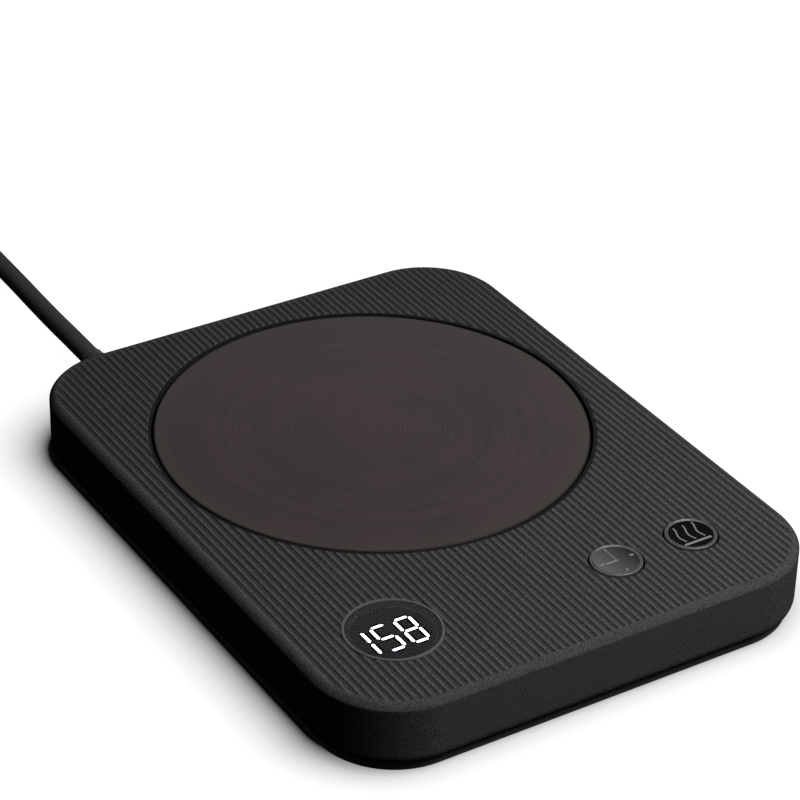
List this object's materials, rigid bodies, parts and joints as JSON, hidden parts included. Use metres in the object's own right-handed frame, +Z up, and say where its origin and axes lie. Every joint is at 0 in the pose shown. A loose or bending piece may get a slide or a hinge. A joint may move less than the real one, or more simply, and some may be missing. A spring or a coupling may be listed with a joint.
{
  "type": "electric mug warmer",
  "caption": "Flat rounded-rectangle desk warmer with a ribbed top, a round heating plate, a round temperature display, two push buttons and a mains cord.",
  "frame": {"origin": "on the table, under the middle of the body", "axes": "+Z up, -Y towards the side with the display and the buttons, +Y towards the side with the cord, +X to the right of someone at the controls"},
  "size_m": [0.166, 0.2781, 0.0173],
  "materials": {
    "shell_plastic": "fine spark-eroded ABS, ribbed on top",
    "base_plastic": "fine-textured ABS",
    "plate_coating": "non-stick coated aluminium with fine turned rings",
    "silicone": "soft silicone",
    "foil_heater": "polyimide film with etched tracks",
    "mica_fibre": "pressed mica and ceramic fibre",
    "zinc_steel": "zinc-plated",
    "sensor_epoxy": "cast epoxy bead",
    "fuse_case": "tinned metal case",
    "ring_plastic": "satin ABS",
    "smoked_window": "smoked acrylic",
    "mask_black": "matt black",
    "segment_on": "lit white diffuser",
    "segment_off": "diffuser that is off",
    "led_case": "white reflector case",
    "timer_face": "polished grey cap",
    "heat_face": "polished black cap",
    "rim_metal": "satin plated rim",
    "switch_black": "moulded nylon",
    "stem_red": "moulded acetal",
    "board_green": "epoxy glass with solder mask",
    "chip_black": "moulded epoxy",
    "capacitor_sleeve": "shrink sleeve",
    "film_yellow": "moulded box",
    "terminal_green": "moulded nylon",
    "screw_steel": "zinc-plated",
    "lead_red": "silicone-sleeved wire",
    "lead_white": "insulated wire",
    "lead_blue": "insulated wire",
    "clamp_nylon": "moulded nylon",
    "sleeve_rubber": "moulded soft PVC",
    "foot_rubber": "moulded rubber",
    "cord_jacket": "satin PVC jacket",
    "tie_nylon": "woven hook-and-loop strap",
    "plug_plastic": "moulded PVC",
    "blade_brass": "plated brass"
  },
  "bodies": {
    "housing": {"top_shell": "shell_plastic", "base_cover": "base_plastic", "heating_plate": "plate_coating", "plate_seal": "silicone", "heater_film": "foil_heater", "insulation_pad": "mica_fibre", "clamp_plate": "zinc_steel", "clamp_screws": "screw_steel", "thermistor": "sensor_epoxy", "thermal_fuse": "fuse_case", "fuse_clip": "zinc_steel", "display_ring": "ring_plastic", "display_lens": "smoked_window", "segment_mask": "mask_black", "lit_segments": "segment_on", "unlit_segments": "segment_off", "display_module": "led_case", "timer_switch": "switch_black", "heat_switch": "switch_black", "control_board": "board_green", "control_chip": "chip_black", "heater_triac": "chip_black", "filter_capacitor": "capacitor_sleeve", "film_capacitor": "film_yellow", "board_fuse": "fuse_case", "buzzer": "chip_black", "terminal_block": "terminal_green", "board_screws": "screw_steel", "heater_leads": "lead_red", "sensor_leads": "lead_white", "mains_leads": "lead_blue", "cord_clamp": "clamp_nylon", "cord_clamp_screws": "screw_steel", "strain_relief": "sleeve_rubber", "housing_screws": "screw_steel", "rubber_feet": "foot_rubber", "cord": "cord_jacket", "cord_coil": "cord_jacket", "cord_ties": "tie_nylon", "plug_body": "plug_plastic", "plug_blades": "blade_brass"},
    "timer_button": {"timer_button_cap": "timer_face", "timer_button_rim": "rim_metal", "timer_switch_stem": "stem_red"},
    "heat_button": {"heat_button_cap": "heat_face", "heat_button_rim": "rim_metal", "heat_switch_stem": "stem_red"}
  },
  "joints": [
    {"name": "timer_button_press", "type": "slide", "parent": "housing", "child": "timer_button", "axis": [0, 0, -1], "range_m": [0, 0.0005], "stiffness_N_per_m": 400, "springref_m": -0.001},
    {"name": "heat_button_press", "type": "slide", "parent": "housing", "child": "heat_button", "axis": [0, 0, -1], "range_m": [0, 0.0005], "stiffness_N_per_m": 400, "springref_m": -0.001}
  ]
}
